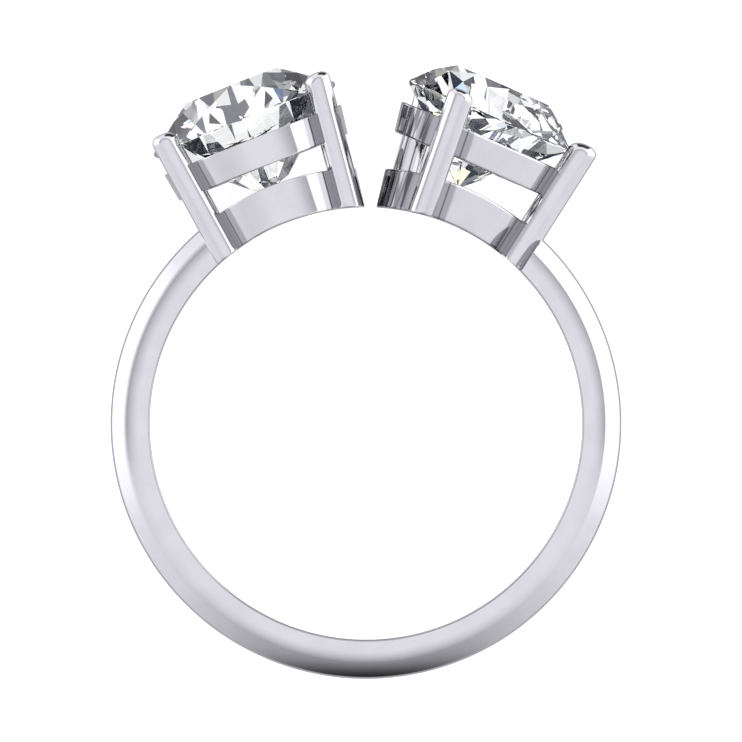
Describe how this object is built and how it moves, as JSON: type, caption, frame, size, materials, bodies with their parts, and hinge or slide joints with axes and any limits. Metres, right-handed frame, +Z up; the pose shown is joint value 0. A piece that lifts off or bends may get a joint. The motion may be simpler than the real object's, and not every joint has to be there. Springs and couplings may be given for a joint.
{
  "type": "toi et moi ring",
  "caption": "Open finger ring with a round and a heart-shaped brilliant side by side in four-prong baskets, lying on its side.",
  "frame": {"origin": "middle of the finger hole, halfway along its wall", "axes": "The ring lies on its side as it rests on a table: +Z up, +Y towards the stones, +X from the round stone to the heart. The finger's axis leans 8.3 degrees from +Z."},
  "size_m": [0.0204, 0.0244, 0.0086],
  "materials": {
    "white_gold": "mirror-polished white metal",
    "diamond": "colourless, faceted and polished"
  },
  "bodies": {
    "root": {"band_and_baskets": "white_gold", "round_stone": "diamond", "heart_stone": "diamond"}
  },
  "joints": []
}
